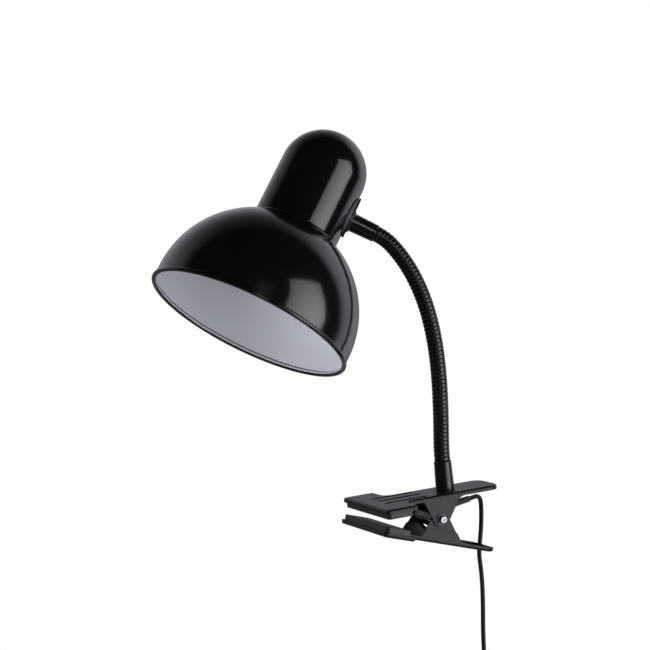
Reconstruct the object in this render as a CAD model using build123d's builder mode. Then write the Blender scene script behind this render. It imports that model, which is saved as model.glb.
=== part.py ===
import os
from math import acos, asin, atan2, cos, degrees, radians, sin, sqrt, tan

from build123d import *

os.makedirs("parts", exist_ok=True)

# Clip-on gooseneck reading lamp. Millimetres and degrees. The origin is the middle of the upper
# jaw's pad face. X runs from the jaws to the handles and Z is square to the upper plate.

# Fits: clamped faces, moving faces, nipples and screws in their holes, the pivot in its bearings
seat = 0.05
slip = 0.3
hole_play = 0.15
running = 0.05

# Pressed clip halves
sheet = 1.2
bend_radius = 1.8
rim_height = 3.3
jaw_width = 75.0
jaw_depth = 25.0
jaw_corner = 2.4
plate_width = 33.5
shoulder_radius = 6.0
handle_corner = 9.0
upper_length = 103.5
lower_length = 104.0
pad_depth = 20.0
pad_drop = 3.9
pad_corner = 2.4
groove_length = 34.0
groove_width = 4.0
groove_depth = 0.8
groove_step = 11.5
groove_middle = 16.3

# Pivot, ears and spring
pivot_x = 41.0
pivot_z = -10.6
pivot_radius = 2.0
ear_radius = 6.2
upper_ear_front = 12.4
upper_ear_back = 16.8
lower_ear_front = 13.3
lower_ear_back = 20.0
ear_blend = 7.0
ear_bite = 1.5
jaw_angle = 17.8
lower_drop = 17.8
lower_reach = 53.5
joggle_drop = 8.0
head_of_screw_radius = 2.75
head_of_screw_height = 2.4
recess_length = 3.2
recess_width = 0.8
recess_depth = 1.2
washer_radius = 4.25
washer_thickness = 0.8
pivot_nut_width = 7.0
pivot_nut_height = 3.2
spring_wire = 2.0
spring_radius = 6.0
spring_turns = 9
spring_gap = 0.55
spring_leg = 24.0

# Gooseneck and its ferrules
neck_x = 54.5
neck_yaw = 25.0
neck_roll = 1.6
neck_lean = 5.5
neck_bend = 46.0
neck_power = 2.4
head_lean = 58.1
segment_count = 12
ribs_per_segment = 5
rib_pitch = 3.0
rib_radius = 5.85
valley_radius = 5.4
link_radius = 3.6
link_gap = 0.8
wire_bore = 2.7
nipple_radius = 5.0
nut_width = 14.0
nut_height = 4.0
base_washer_radius = 8.5
base_washer_thickness = 1.0
base_ferrule_height = 21.5
base_ferrule_radius = 6.9
ferrule_tip_radius = 6.4
base_nipple_length = 10.0
head_ferrule_length = 20.4
head_ferrule_radius = 6.8
ferrule_foot_radius = 8.5
ferrule_foot_height = 1.6
edge = 0.5

# Head, measured up the shade's axis: the ferrule from the bowl's flat top, the dome from the ferrule
head_twist = -19.5
rim_radius = 76.3
bead_radius = 1.7
shade_wall = 0.8
bowl_lift = 10.8
neck_radius = 32.1
neck_wall = 1.0
flat_margin = 0.6
attach_rise = 25.1
dome_rise = 24.5
disc_reach = 16.4
disc_half_width = 10.4
disc_thickness = 1.2
disc_offset = 2.9
gasket_radius = 7.6
gasket_thickness = 0.6
strip_rise = 10.6
strip_width = 12.0
strip_thickness = 1.5
strip_foot = 10.0
nipple_overhang = 1.0

# Screw lampholder
holder_radius = 19.8
holder_drop = 9.3
holder_roof = 3.0
holder_flange_radius = 24.0
holder_flange = 2.0
holder_nipple_length = 9.0
shell_bore = 13.45
shell_wall = 0.5
shell_length = 24.0
shell_inset = 2.0
contact_width = 5.0
contact_strip = 0.8
contact_rise = 4.0
contact_reach = 7.0
ring_radius = 25.0
ring_height = 6.0
terminal_radius = 2.6
terminal_height = 2.0
terminal_shank_radius = 1.5
terminal_shank = 2.4
terminal_offset = 13.0

# Moulded cord outlet under the plate, and the cord
outlet_radius = 6.2
outlet_height = 9.6
outlet_round = 2.5
spout_yaw = 24.1
spout_drop = 12.3
spout_root_radius = 2.6
spout_tip_radius = 2.3
spout_length = 26.9
cord_diameter = 3.4
cord_share = 0.45

# In-line switch
switch_length = 58.0
switch_width = 22.0
switch_depth = 17.0
switch_wall = 1.6
switch_round = 3.0
rocker_length = 19.0
rocker_width = 11.0
rocker_rise = 3.2
rocker_dip = 1.9
rocker_keel = 2.5
rocker_flank = 1.0
rocker_tilt = 8.0
rocker_pin_radius = 1.2
rocker_pin_length = 1.0
rocker_sink = 1.5
well_wall = 1.5
well_depth = 4.5
screw_radius = 1.2
screw_head_radius = 2.2
screw_sink = 1.4
screw_inset = 6.0

# Coil, tie and plug
coil_radius = 26.0
coil_pitch = 4.8
coil_halves = (5, 5, 4, 3)
coil_entry = 30.0
coil_exit = 30.0
tie_width = 6.0
tie_thickness = 1.0
tie_play = 0.9
plug_relief_length = 14.0
plug_relief_radius = 4.6
plug_length = 33.0
plug_width = 35.0
plug_neck = 13.0
plug_shoulder = 12.0
plug_thickness = 13.7
plug_round = 2.5
pin_radius = 2.0
pin_length = 19.0
pin_spacing = 18.6
pin_root = 6.0


def save(piece, name):
    """Label a finished piece and write its file."""
    piece.part.label = name
    export_step(piece.part, f"parts/{name}.step")


def round_corners(sketch, corners, radius):
    """Round the sketch's corners nearest to the given points."""
    fillet([sketch.vertices().sort_by_distance(corner)[0] for corner in corners], radius)


def press_pan(rim_plane, front, tail):
    """Pan-shaped pressing, T-shaped in plan, with its rim turned towards the jaw's mouth."""
    shoulder = front + jaw_depth
    half_jaw = jaw_width / 2
    half_plate = plate_width / 2
    with BuildSketch(rim_plane) as outline:
        with Locations(((front + shoulder) / 2, 0)):
            Rectangle(jaw_depth, jaw_width)
        with Locations(((front + tail) / 2, 0)):
            Rectangle(tail - front, plate_width)
        round_corners(outline, [(x, y) for x in (front, shoulder) for y in (half_jaw, -half_jaw)], jaw_corner)
        round_corners(outline, [(shoulder, half_plate), (shoulder, -half_plate)], shoulder_radius)
        round_corners(outline, [(tail, half_plate), (tail, -half_plate)], handle_corner)
    extrude(outline.sketch, amount=rim_height)
    crown = rim_plane.from_local_coords((tail / 2, 0, rim_height))
    fillet(faces().sort_by_distance(crown)[0].outer_wire().edges(), bend_radius)
    with BuildSketch(rim_plane) as pocket:
        offset(outline.sketch_local, amount=-sheet)
    extrude(pocket.sketch, amount=rim_height - sheet, mode=Mode.SUBTRACT)


def raise_walls(side_plane, profile, outside):
    """One sheet profile at both sides of the plate, its outer faces at the given half width."""
    for depth in (outside - sheet, -outside):
        with BuildSketch(side_plane.offset(depth)) as wall:
            add(profile)
        extrude(wall.sketch, amount=sheet)


def turn(section_plane, points):
    """Body of revolution about the section plane's Y axis, from radius and height pairs."""
    with BuildSketch(section_plane) as section:
        with BuildLine():
            Polyline(*points, close=True)
        make_face()
    revolve(section.sketch, axis=Axis(section_plane.origin, section_plane.y_dir))


def drill(mouth_plane, radius, depth):
    """Round hole, or a through hole, from a plane against its normal."""
    with BuildSketch(mouth_plane) as mouth:
        Circle(radius)
    extrude(mouth.sketch, amount=-depth, mode=Mode.SUBTRACT)


def hex_nut(seat_plane, width, height, bore):
    """Hexagon nut standing on a plane."""
    with BuildSketch(seat_plane) as flats:
        RegularPolygon(width / 2, 6, major_radius=False)
        Circle(bore, mode=Mode.SUBTRACT)
    extrude(flats.sketch, amount=height)


def biarc(start, start_dir, end, end_dir):
    """Two arcs that meet smoothly: a half turn of a wound wire."""
    span = end - start
    both = start_dir + end_dir
    open_part = 2 * (1 - start_dir.dot(end_dir))
    along = span.dot(both)
    reach = (sqrt(along**2 + open_part * span.dot(span)) - along) / open_part
    first = start + start_dir * reach
    second = end - end_dir * reach
    middle = (first + second) * 0.5
    TangentArc(start, middle, tangent=start_dir)
    TangentArc(middle, end, tangent=second - first)


def run_length(path):
    """Length along a path."""
    return sum(bit.length for bit in path.edges())


def least_gap(path, diameter):
    """Smallest gap between two stretches of a wound wire that aren't neighbours along it."""
    stations = []
    travelled = 0.0
    for bit in path.edges():
        count = max(2, int(bit.length / (diameter / 2)))
        stations += [(travelled + bit.length * i / count, bit @ (i / count)) for i in range(count)]
        travelled += bit.length
    apart = [
        (p - q).length
        for i, (s, p) in enumerate(stations)
        for t, q in stations[i + 1:]
        if t - s > 4 * diameter
    ]
    return min(apart) - diameter


# Heights of the upper plate and the frame of the lower one
rim_edge = pad_drop
plate_top = pad_drop + rim_height
plate_under = plate_top - sheet
upper_front = -(pad_depth / 2 + slip + sheet)
upper_tail = upper_front + upper_length
half_width = plate_width / 2
inner_width = half_width - sheet - slip
tilt = radians(jaw_angle)
pivot = Vector(pivot_x, 0, pivot_z)
lower_x = Vector(cos(tilt), 0, -sin(tilt))
lower_z = Vector(sin(tilt), 0, cos(tilt))
lower_front = -lower_reach
lower_tail = lower_front + lower_length
lower_rim = rim_height - lower_drop
side_plane = Plane.XZ
lower_side = Plane(origin=pivot, x_dir=lower_x, z_dir=(0, -1, 0))

# Upper half of the clip
with BuildSketch() as upper_ear:
    with Locations((pivot_x, pivot_z)):
        Circle(ear_radius)
    with Locations((pivot_x + (upper_ear_back - upper_ear_front) / 2, rim_edge + ear_bite / 2)):
        Rectangle(upper_ear_front + upper_ear_back, ear_bite)
    make_hull()
    with Locations((pivot_x + (upper_ear_back - upper_ear_front) / 2, rim_edge + ear_bite / 2)):
        Rectangle(upper_ear_front + upper_ear_back + 4 * ear_blend, ear_bite)
    round_corners(upper_ear, [(pivot_x + upper_ear_back, rim_edge)], ear_blend)
    round_corners(upper_ear, [(pivot_x - upper_ear_front, rim_edge)], ear_blend / 3)

with BuildPart() as upper_clip_plate:
    press_pan(Plane.XY.offset(rim_edge), upper_front, upper_tail)
    raise_walls(side_plane, upper_ear.sketch, half_width)
    with BuildSketch(side_plane.offset(half_width)):
        with Locations((pivot_x, pivot_z)):
            Circle(pivot_radius + hole_play)
    extrude(amount=-plate_width, mode=Mode.SUBTRACT)
    drill(Plane(origin=(neck_x, 0, plate_top)), nipple_radius + hole_play, 2 * sheet)
    with BuildSketch(Plane.XY.offset(plate_top)):
        with Locations(*[(groove_middle, y) for y in (-groove_step, 0, groove_step)]):
            SlotOverall(groove_length, groove_width)
    extrude(amount=-groove_depth, mode=Mode.SUBTRACT)
save(upper_clip_plate, "upper_clip_plate")

with BuildPart() as upper_jaw_pad:
    with BuildSketch(Plane.XY):
        RectangleRounded(pad_depth, jaw_width - 2 * (sheet + slip), pad_corner)
    extrude(amount=plate_under - seat)
save(upper_jaw_pad, "upper_jaw_pad")

# Lower half of the clip, whose ears step in to pass between the upper ones
with BuildSketch() as lower_ear:
    Circle(ear_radius)
    with Locations(((lower_ear_back - lower_ear_front) / 2, lower_rim - ear_bite / 2)):
        Rectangle(lower_ear_front + lower_ear_back, ear_bite)
    make_hull()

with BuildSketch() as lower_ear_foot:
    add(lower_ear.sketch)
    with Locations((0, -joggle_drop)):
        Rectangle(2 * lower_reach, 2 * lower_reach, align=(Align.CENTER, Align.MIN), mode=Mode.SUBTRACT)
    with Locations(((lower_ear_back - lower_ear_front) / 2, lower_rim - ear_bite / 2)):
        Rectangle(lower_ear_front + lower_ear_back + 4 * ear_blend, ear_bite)
    round_corners(lower_ear_foot, [(lower_ear_back, lower_rim)], ear_blend)

with BuildSketch() as lower_ear_top:
    add(lower_ear.sketch)
    with Locations((0, -joggle_drop - sheet)):
        Rectangle(2 * lower_reach, 2 * lower_reach, align=(Align.CENTER, Align.MAX), mode=Mode.SUBTRACT)

with BuildSketch() as joggle:
    add(lower_ear.sketch)
    with Locations((0, -joggle_drop)):
        Rectangle(2 * lower_reach, 2 * lower_reach, align=(Align.CENTER, Align.MIN), mode=Mode.SUBTRACT)
    with Locations((0, -joggle_drop - sheet)):
        Rectangle(2 * lower_reach, 2 * lower_reach, align=(Align.CENTER, Align.MAX), mode=Mode.SUBTRACT)

with BuildPart() as lower_clip_plate:
    press_pan(Plane(origin=pivot + lower_z * lower_rim, x_dir=lower_x, z_dir=-lower_z), lower_front, lower_tail)
    raise_walls(lower_side, lower_ear_foot.sketch, half_width)
    raise_walls(lower_side, lower_ear_top.sketch, inner_width)
    raise_walls(lower_side, joggle.sketch, inner_width + slip)
    with BuildSketch(lower_side.offset(half_width)):
        Circle(pivot_radius + running)
    extrude(amount=-plate_width, mode=Mode.SUBTRACT)
save(lower_clip_plate, "lower_clip_plate")

with BuildPart() as lower_jaw_pad:
    pad_middle = lower_front + sheet + slip + pad_depth / 2
    with BuildSketch(Plane(origin=pivot + lower_z * (lower_rim + pad_drop), x_dir=lower_x, z_dir=lower_z)):
        with Locations((pad_middle, 0)):
            RectangleRounded(pad_depth, jaw_width - 2 * (sheet + slip), pad_corner)
    extrude(amount=-(pad_drop + rim_height - sheet - seat))
save(lower_jaw_pad, "lower_jaw_pad")

# Pivot screw with its washers and nut
near_plane = Plane(origin=pivot + Vector(0, -half_width - seat, 0), x_dir=(1, 0, 0), z_dir=(0, -1, 0))
far_plane = Plane(origin=pivot + Vector(0, half_width + seat, 0), x_dir=(1, 0, 0), z_dir=(0, 1, 0))
grip = plate_width + 2 * (seat + washer_thickness + seat)

with BuildPart() as pivot_washers:
    for washer_plane in (near_plane, far_plane):
        with BuildSketch(washer_plane):
            Circle(washer_radius)
            Circle(pivot_radius + hole_play, mode=Mode.SUBTRACT)
        extrude(amount=washer_thickness)
save(pivot_washers, "pivot_washers")

with BuildPart() as pivot_screw:
    with BuildSketch(near_plane.offset(washer_thickness + seat)):
        Circle(head_of_screw_radius)
    extrude(amount=head_of_screw_height)
    fillet(edges().group_by(Axis.Y)[0], head_of_screw_height / 3)
    with BuildSketch(near_plane.offset(washer_thickness + seat)):
        Circle(pivot_radius)
    extrude(amount=-(grip + pivot_nut_height + edge))
    with BuildSketch(near_plane.offset(washer_thickness + seat + head_of_screw_height)):
        Rectangle(recess_length, recess_width)
        Rectangle(recess_width, recess_length)
    extrude(amount=-recess_depth, mode=Mode.SUBTRACT)
save(pivot_screw, "pivot_screw")

with BuildPart() as pivot_nut:
    hex_nut(far_plane.offset(washer_thickness + seat), pivot_nut_width, pivot_nut_height, pivot_radius + seat)
save(pivot_nut, "pivot_nut")

# Torsion spring round the pivot, one leg under each handle


def leg_angle(rise):
    """Slope at which a leg leaves the winding tangentially and ends against a plate."""
    lever = spring_radius + spring_wire / 2
    return asin(rise / sqrt(lever**2 + spring_leg**2)) - atan2(lever, spring_leg)


def wound_point(angle, y):
    """Point on the winding, at an angle from X towards Z."""
    return pivot + Vector(spring_radius * cos(angle), y, spring_radius * sin(angle))


def wound_dir(angle, climb):
    """Direction of travel on the winding, clockwise seen from the near side."""
    return Vector(sin(angle) * spring_radius, climb, -cos(angle) * spring_radius).normalized()


low_slope = leg_angle(lower_drop - sheet - seat) + tilt
high_slope = leg_angle(plate_under - seat - pivot_z)
spring_start = -radians(90) - low_slope
spring_turning = radians(360) * spring_turns - radians(180) - low_slope - high_slope
spring_climb = -(spring_wire + spring_gap) / radians(360)
spring_half = spring_turning / (2 * spring_turns)
spring_far = -spring_climb * spring_turning / 2

with BuildPart() as torsion_spring:
    with BuildLine() as spring_path:
        here = wound_point(spring_start, spring_far)
        going = wound_dir(spring_start, 0)
        spring_tip = here - going * spring_leg
        Line(spring_tip, here)
        for i in range(1, 2 * spring_turns + 1):
            turned = spring_half * i
            climb = spring_climb if i < 2 * spring_turns else 0
            there = wound_point(spring_start - turned, spring_far + spring_climb * turned)
            heading = wound_dir(spring_start - turned, climb)
            biarc(here, going, there, heading)
            here = there
            going = heading
        Line(here, here + going * spring_leg)
    with BuildSketch(Plane(origin=spring_tip, z_dir=wound_dir(spring_start, 0))):
        Circle(spring_wire / 2)
    sweep(path=spring_path.line)
print("spring gap", round(least_gap(spring_path.line, spring_wire), 2))
save(torsion_spring, "torsion_spring")

# Base ferrule, its washer and nut, and the moulded cord outlet
base = Vector(neck_x, 0, plate_top)
base_section = Plane(origin=base, x_dir=(1, 0, 0), z_dir=(0, -1, 0))

with BuildPart() as base_ferrule:
    turn(base_section, [
        (wire_bore, -base_nipple_length),
        (nipple_radius - edge, -base_nipple_length),
        (nipple_radius, edge - base_nipple_length),
        (nipple_radius, seat),
        (base_ferrule_radius, seat),
        (ferrule_tip_radius, base_ferrule_height - edge),
        (ferrule_tip_radius - edge, base_ferrule_height),
        (wire_bore, base_ferrule_height),
    ])
save(base_ferrule, "base_ferrule")

washer_seat = plate_under - seat - base_washer_thickness
with BuildPart() as base_washer:
    with BuildSketch(Plane(origin=(neck_x, 0, washer_seat))):
        Circle(base_washer_radius)
        Circle(nipple_radius + hole_play, mode=Mode.SUBTRACT)
    extrude(amount=base_washer_thickness)
save(base_washer, "base_washer")

base_nut_seat = washer_seat - seat - nut_height
with BuildPart() as base_nut:
    hex_nut(Plane(origin=(neck_x, 0, base_nut_seat)), nut_width, nut_height, nipple_radius + seat)
save(base_nut, "base_nut")

outlet_top = base_nut_seat - seat
spout_dir = Vector(cos(radians(spout_yaw)), sin(radians(spout_yaw)), 0)
spout_root = base + Vector(0, 0, -spout_drop)
spout_section = Plane(origin=spout_root, x_dir=(0, 0, 1), z_dir=Vector(0, 0, 1).cross(spout_dir))

with BuildPart() as cord_outlet:
    with BuildSketch(Plane(origin=(neck_x, 0, outlet_top))):
        Circle(outlet_radius)
    extrude(amount=-outlet_height)
    fillet(edges().group_by(Axis.Z)[0], outlet_round)
    turn(spout_section, [
        (0, 0),
        (spout_root_radius, 0),
        (spout_root_radius, outlet_radius + edge),
        (spout_tip_radius, spout_length - edge),
        (spout_tip_radius - edge, spout_length),
        (0, spout_length),
    ])
    nipple_end = plate_top - base_nipple_length
    drill(Plane(origin=(neck_x, 0, outlet_top)), nipple_radius + hole_play, outlet_top - nipple_end + slip)
save(cord_outlet, "cord_outlet")

# Gooseneck: each length is an arc in the arm's plane
arm_x = Vector(cos(radians(neck_yaw)), -sin(radians(neck_yaw)), 0).rotate(Axis.X, -neck_roll)
arm_up = Vector(0, 0, 1).rotate(Axis.X, -neck_roll)
arm_normal = arm_x.cross(arm_up)
segment_length = ribs_per_segment * rib_pitch


def heading(index):
    """Lean from upright towards the head at a joint between lengths."""
    if index == 0:
        return 0.0
    if index == segment_count:
        return radians(head_lean)
    return radians((neck_bend + neck_lean) * (index / segment_count) ** neck_power - neck_lean)


def arm_dir(lean):
    """Direction in the arm's plane at a lean from upright."""
    return arm_up * cos(lean) - arm_x * sin(lean)


def along_arc(start, index, travel):
    """Point and direction at a distance along one length."""
    turned = (heading(index + 1) - heading(index)) * travel / segment_length
    chord = travel * (sin(turned / 2) / (turned / 2) if turned else 1.0)
    return start + arm_dir(heading(index) + turned / 2) * chord, arm_dir(heading(index) + turned)


def ring_plane(start, index, travel):
    """Plane square to a length at a distance along it."""
    origin, direction = along_arc(start, index, travel)
    return Plane(origin=origin, x_dir=arm_normal, z_dir=direction)


rib_profile = [(0.08, valley_radius), (0.30, rib_radius), (0.70, rib_radius), (0.92, valley_radius)]


def rib_rings(index):
    """Travel and radius of each circle of one length: root, crest, crest, root for every rib."""
    rings = []
    for rib in range(ribs_per_segment):
        for share, radius in rib_profile:
            rings.append(((rib + share) * rib_pitch, radius))
    linked_below = index > 0
    linked_above = index < segment_count - 1
    first = (link_gap / 2, link_radius) if linked_below else (seat, valley_radius)
    last = (link_gap / 2, link_radius) if linked_above else (seat, valley_radius)
    return [first] + rings[1:-1] + [(segment_length - last[0], last[1])]


joint_points = [base + Vector(0, 0, base_ferrule_height)]
for index in range(segment_count):
    joint_points.append(along_arc(joint_points[-1], index, segment_length)[0])
    rings = rib_rings(index)
    with BuildPart() as neck_segment:
        for travel, radius in rings:
            with BuildSketch(ring_plane(joint_points[index], index, travel)):
                Circle(radius)
        loft(ruled=True)
        for share in (-0.1, 0.2, 0.4, 0.6, 0.8, 1.1):
            with BuildSketch(ring_plane(joint_points[index], index, share * segment_length)):
                Circle(wire_bore)
        loft(ruled=True, mode=Mode.SUBTRACT)
    save(neck_segment, f"neck_segment_{index + 1:02d}")

# Heights on the shade's axis above its rim
bowl_radius = rim_radius - bead_radius + shade_wall / 2
flat_radius = neck_radius - neck_wall - flat_margin
flat_angle = degrees(acos(flat_radius / bowl_radius))
flat_height = bowl_lift + bowl_radius * sin(radians(flat_angle))
attach_height = flat_height + attach_rise
dome_lift = attach_height + dome_rise
holder_top = attach_height + strip_rise
holder_mouth = flat_height - holder_drop

# Frame of the head: out is square to the shade's axis, towards the gooseneck
neck_end = joint_points[-1]
head_dir = arm_dir(radians(head_lean))
out = head_dir * -1
upright = arm_up * sin(radians(head_lean)) + arm_x * cos(radians(head_lean))
twist = radians(head_twist)
up = upright * cos(twist) + out.cross(upright) * sin(twist)
across = out.cross(up)
disc_face = neck_radius + gasket_thickness + disc_thickness
axis_point = neck_end + head_dir * (head_ferrule_length + disc_face)
rim = axis_point - up * attach_height
head_section = Plane(origin=rim, x_dir=out, z_dir=across)
head_plane = Plane(origin=rim, x_dir=out, z_dir=up)
attach_plane = Plane(origin=axis_point, x_dir=across, z_dir=out)
attach_section = Plane(origin=axis_point, x_dir=across, z_dir=across.cross(out))

strip_outer = sqrt((neck_radius - neck_wall - hole_play) ** 2 - (strip_width / 2) ** 2)
strip_inner = strip_outer - strip_thickness
nut_inner = strip_inner - seat - nut_height
nipple_tip = nut_inner - nipple_overhang

with BuildPart() as head_ferrule:
    turn(attach_section, [
        (wire_bore, nipple_tip),
        (nipple_radius - edge, nipple_tip),
        (nipple_radius, nipple_tip + edge),
        (nipple_radius, disc_face + seat),
        (ferrule_foot_radius, disc_face + seat),
        (ferrule_foot_radius, disc_face + edge),
        (head_ferrule_radius, disc_face + ferrule_foot_height),
        (ferrule_tip_radius, disc_face + head_ferrule_length - edge),
        (ferrule_tip_radius - edge, disc_face + head_ferrule_length),
        (wire_bore, disc_face + head_ferrule_length),
    ])
save(head_ferrule, "head_ferrule")

with BuildPart() as backing_disc:
    with BuildSketch(attach_plane.offset(disc_face - disc_thickness)):
        with Locations((0, -disc_offset)):
            Ellipse(disc_half_width, disc_reach)
        Circle(nipple_radius + hole_play, mode=Mode.SUBTRACT)
    extrude(amount=disc_thickness)
    fillet(edges().filter_by(GeomType.ELLIPSE), edge)
save(backing_disc, "backing_disc")

with BuildPart() as saddle_gasket:
    with BuildSketch(attach_plane.offset(disc_face - disc_thickness - seat)):
        Circle(gasket_radius)
    extrude(amount=-gasket_radius)
    with BuildSketch(head_plane):
        Circle(neck_radius + seat)
    extrude(amount=2 * attach_height, mode=Mode.SUBTRACT)
    drill(attach_plane.offset(disc_face), nipple_radius + hole_play, disc_face)
save(saddle_gasket, "saddle_gasket")

# Shade bowl with its rolled rim, and the cap above it
flat_under = flat_height - shade_wall
inner_angle = degrees(asin((flat_under - bowl_lift) / (bowl_radius - shade_wall)))
inner_flat = (bowl_radius - shade_wall) * cos(radians(inner_angle))
holder_hole = holder_radius + hole_play

with BuildPart() as shade_bowl:
    with BuildSketch(head_section):
        with BuildLine():
            Line((bowl_radius, bead_radius), (bowl_radius, bowl_lift))
            CenterArc((0, bowl_lift), bowl_radius, 0, flat_angle)
            Polyline((flat_radius, flat_height), (holder_hole, flat_height), (holder_hole, flat_under),
                     (inner_flat, flat_under))
            CenterArc((0, bowl_lift), bowl_radius - shade_wall, 0, inner_angle)
            Polyline((bowl_radius - shade_wall, bowl_lift), (bowl_radius - shade_wall, bead_radius),
                     (bowl_radius, bead_radius))
        make_face()
        with Locations((bowl_radius - shade_wall / 2, bead_radius)):
            Circle(bead_radius)
    revolve(axis=Axis(rim, up))
save(shade_bowl, "shade_bowl")

cap_inner = neck_radius - neck_wall
cap_foot = bowl_lift + sqrt(bowl_radius**2 - cap_inner**2) + seat
with BuildPart() as neck_cap:
    with BuildSketch(head_section):
        with BuildLine():
            Line((cap_inner, cap_foot), (neck_radius, cap_foot))
            Line((neck_radius, cap_foot), (neck_radius, dome_lift))
            CenterArc((0, dome_lift), neck_radius, 0, 90)
            Line((0, dome_lift + neck_radius), (0, dome_lift + cap_inner))
            CenterArc((0, dome_lift), cap_inner, 0, 90)
            Line((cap_inner, dome_lift), (cap_inner, cap_foot))
        make_face()
    revolve(axis=Axis(rim, up))
    drill(attach_plane.offset(disc_face), nipple_radius + hole_play, disc_face - nipple_tip)
save(neck_cap, "neck_cap")

with BuildPart() as head_nut:
    hex_nut(attach_plane.offset(nut_inner), nut_width, nut_height, nipple_radius + seat)
save(head_nut, "head_nut")

# Strip that hangs the lampholder from the nipple of the gooseneck
strip_base = holder_top + seat
with BuildPart() as holder_strip:
    with BuildSketch(head_plane.offset(strip_base)):
        with Locations(((strip_outer - strip_foot) / 2, 0)):
            Rectangle(strip_outer + strip_foot, strip_width)
        Circle(nipple_radius + hole_play, mode=Mode.SUBTRACT)
    extrude(amount=strip_thickness)
    strip_drop = strip_base + strip_thickness - attach_height + nut_width / 2
    with BuildSketch(head_plane.offset(strip_base + strip_thickness)):
        with Locations(((strip_outer + strip_inner) / 2, 0)):
            Rectangle(strip_thickness, strip_width)
    extrude(amount=-strip_drop)
    drill(attach_plane.offset(neck_radius), nipple_radius + hole_play, neck_radius - nipple_tip)
save(holder_strip, "holder_strip")

with BuildPart() as holder_nut:
    hex_nut(head_plane.offset(strip_base + strip_thickness + seat), nut_width, nut_height, nipple_radius + seat)
save(holder_nut, "holder_nut")

# Lampholder: body with flange and nipple, ring under the bowl, screw shell and contacts
shell_radius = shell_bore + shell_wall
cavity = shell_radius + hole_play
cavity_top = holder_top - holder_roof
flange_base = flat_height + seat
with BuildPart() as lampholder_body:
    turn(head_section, [
        (cavity, holder_mouth),
        (holder_radius, holder_mouth),
        (holder_radius, flange_base),
        (holder_flange_radius, flange_base),
        (holder_flange_radius, flange_base + holder_flange),
        (holder_radius, flange_base + holder_flange),
        (holder_radius, holder_top),
        (nipple_radius, holder_top),
        (nipple_radius, holder_top + holder_nipple_length),
        (wire_bore, holder_top + holder_nipple_length),
        (wire_bore, cavity_top),
        (cavity, cavity_top),
    ])
    with BuildSketch(head_plane.offset(holder_top)):
        with Locations((0, terminal_offset), (0, -terminal_offset)):
            Circle(terminal_shank_radius + seat)
    extrude(amount=-terminal_shank - seat, mode=Mode.SUBTRACT)
save(lampholder_body, "lampholder_body")

with BuildPart() as terminal_screws:
    with BuildSketch(head_plane.offset(holder_top + seat)):
        with Locations((0, terminal_offset), (0, -terminal_offset)):
            Circle(terminal_radius)
    extrude(amount=terminal_height)
    with BuildSketch(head_plane.offset(holder_top + seat)):
        with Locations((0, terminal_offset), (0, -terminal_offset)):
            Circle(terminal_shank_radius)
    extrude(amount=-terminal_shank)
save(terminal_screws, "terminal_screws")

with BuildPart() as shade_ring:
    turn(head_section, [
        (holder_radius + hole_play, flat_under - seat - ring_height),
        (ring_radius - ring_height / 2, flat_under - seat - ring_height),
        (ring_radius, flat_under - seat - ring_height / 2),
        (ring_radius, flat_under - seat),
        (holder_radius + hole_play, flat_under - seat),
    ])
save(shade_ring, "shade_ring")

contact_top = cavity_top - seat
shell_foot = holder_mouth + shell_inset
shell_top = shell_foot + shell_length
contact_face = shell_top + seat
recess_radius = sqrt(contact_reach**2 + (contact_width / 2) ** 2) + hole_play
recess_roof = contact_face + contact_rise + contact_strip + 2 * seat
with BuildPart() as contact_base:
    turn(head_section, [
        (wire_bore, recess_roof),
        (recess_radius, recess_roof),
        (recess_radius, contact_face),
        (shell_radius, contact_face),
        (shell_radius, contact_top),
        (wire_bore, contact_top),
    ])
save(contact_base, "contact_base")

with BuildPart() as screw_shell:
    turn(head_section, [
        (shell_bore, shell_foot),
        (shell_radius, shell_foot),
        (shell_radius, shell_top),
        (shell_bore, shell_top),
    ])
save(screw_shell, "screw_shell")

with BuildPart() as centre_contact:
    with BuildSketch(head_section.offset(-contact_width / 2)):
        with BuildLine():
            Polyline(
                (contact_reach, recess_roof - seat),
                (-contact_reach, recess_roof - seat),
                (-contact_reach, recess_roof - seat - contact_strip),
                (contact_reach - contact_strip, recess_roof - seat - contact_strip),
                (0, recess_roof - seat - contact_rise),
                (contact_strip, recess_roof - seat - contact_rise - contact_strip),
                (contact_reach, recess_roof - seat - contact_strip),
                close=True,
            )
        make_face()
    extrude(amount=contact_width)
save(centre_contact, "centre_contact")

# Supply cord: from the outlet's spout, folded down over the handle's end and then hanging
cord_route = [
    spout_root + spout_dir * (spout_length + seat),
    base + Vector(29.4, 13.1, -12.2),
    base + Vector(34.6, 15.5, -12.2),
    base + Vector(38.1, 17.8, -15.2),
    base + Vector(39.2, 19.5, -20.6),
    base + Vector(39.1, 20.4, -28.5),
    base + Vector(37.9, 20.6, -38.5),
    base + Vector(35.6, 20.5, -49.5),
    base + Vector(34.0, 20.4, -57.5),
    base + Vector(34.7, 20.6, -68.0),
    base + Vector(34.6, 20.5, -82.0),
    base + Vector(33.2, 20.5, -100.0),
    base + Vector(31.4, 20.6, -118.0),
    base + Vector(30.6, 20.5, -134.0),
]


def bend_radii(route):
    """Radius at each inner point of a route: a share of the shorter run over the half turn's tangent."""
    radii = []
    for before, point, after in zip(route, route[1:], route[2:]):
        run_in = point - before
        run_out = after - point
        half_turn = radians(run_in.get_angle(run_out)) / 2
        radii.append(cord_share * min(run_in.length, run_out.length) / tan(half_turn))
    return radii


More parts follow.
